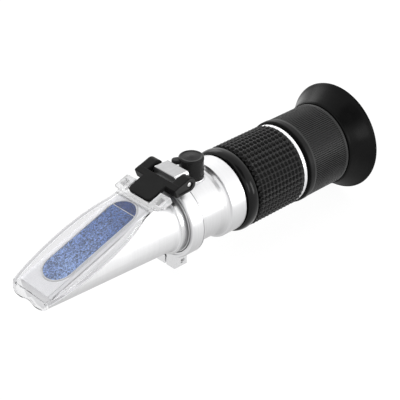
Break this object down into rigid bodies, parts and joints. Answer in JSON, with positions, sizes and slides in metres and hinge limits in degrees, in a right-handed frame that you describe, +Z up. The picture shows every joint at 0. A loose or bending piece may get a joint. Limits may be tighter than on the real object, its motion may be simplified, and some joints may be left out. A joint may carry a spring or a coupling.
{
  "type": "hand-held refractometer",
  "caption": "Hand-held optical refractometer: tapered metal nose with a prism under a hinged clear plate, rubber grip, focusing ring and flared eyecup.",
  "frame": {"origin": "bottom centre of the whole instrument's box; the eyecup rim touches the origin's level", "axes": "+X along the optical axis towards the eyecup, +Z up through the calibration cap, +Y across"},
  "size_m": [0.15, 0.043, 0.043],
  "materials": {
    "satin_aluminium": "satin turned",
    "black_aluminium": "black anodised",
    "steel": "bright",
    "brass": "turned",
    "black_rubber": "soft matt",
    "black_plastic": "satin moulded",
    "white_sealant": "matt",
    "blue_glass": "ground under a polished face",
    "clear_acrylic": "polished, slightly frosted underside",
    "clear_glass": "polished"
  },
  "bodies": {
    "main_body": {"prism_housing": "satin_aluminium", "measuring_prism": "blue_glass", "prism_gasket": "white_sealant", "light_baffle": "black_plastic", "clamp_ring": "satin_aluminium", "clamp_screw": "steel", "hinge_block": "satin_aluminium", "hinge_block_screw": "steel", "hinge_pin": "steel", "barrel": "satin_aluminium", "calibration_bush": "brass", "return_spring": "steel", "grip_tube": "black_aluminium", "bead_ring": "black_rubber", "grip_sleeve": "black_rubber", "trim_ring": "satin_aluminium", "reticle_disc": "clear_glass", "reticle_retainer": "black_aluminium"},
    "daylight_cover": {"daylight_plate": "clear_acrylic", "hinge_lever": "black_plastic"},
    "focus_turner": {"focus_ring": "black_plastic", "eyecup": "black_rubber"},
    "eyepiece_cell": {"eyepiece_tube": "black_aluminium", "focus_key": "steel", "field_lens": "clear_glass", "lens_spacer": "black_aluminium", "eye_lens": "clear_glass", "eyepiece_retainer": "black_aluminium"},
    "cap": {"calibration_cap": "black_rubber"},
    "adjuster": {"calibration_screw": "brass"},
    "objective_cell": {"objective_carrier": "black_aluminium", "objective_lens": "clear_glass", "objective_retainer": "black_aluminium"}
  },
  "joints": [
    {"name": "cover_hinge", "type": "hinge", "parent": "main_body", "child": "daylight_cover", "pos_m": [-0.0118, 0, 0.039], "axis": [0, 1, 0], "range_deg": [0, 110]},
    {"name": "focus_turn", "type": "hinge", "parent": "main_body", "child": "focus_turner", "pos_m": [0.0551, 0, 0.0215], "axis": [1, 0, 0], "range_deg": [-150, 150]},
    {"name": "eyepiece_slide", "type": "slide", "parent": "main_body", "child": "eyepiece_cell", "axis": [1, 0, 0], "range_m": [-0.0015, 0.0015]},
    {"name": "cap_pull", "type": "slide", "parent": "main_body", "child": "cap", "axis": [0, 0, 1], "range_m": [0, 0.008]},
    {"name": "objective_slide", "type": "slide", "parent": "main_body", "child": "objective_cell", "axis": [0, 0, 1], "range_m": [-0.0005, 0.0005]},
    {"name": "adjuster_turn", "type": "hinge", "parent": "objective_cell", "child": "adjuster", "pos_m": [-0.0016, 0, 0.034], "axis": [0, 0, 1], "range_deg": [-360, 360]}
  ],
  "couplings": [
    {"joint": "eyepiece_slide", "follows": "focus_turn", "m_per_rad": 0.00057296},
    {"joint": "adjuster_turn", "follows": "objective_slide", "rad_per_m": 12566}
  ]
}
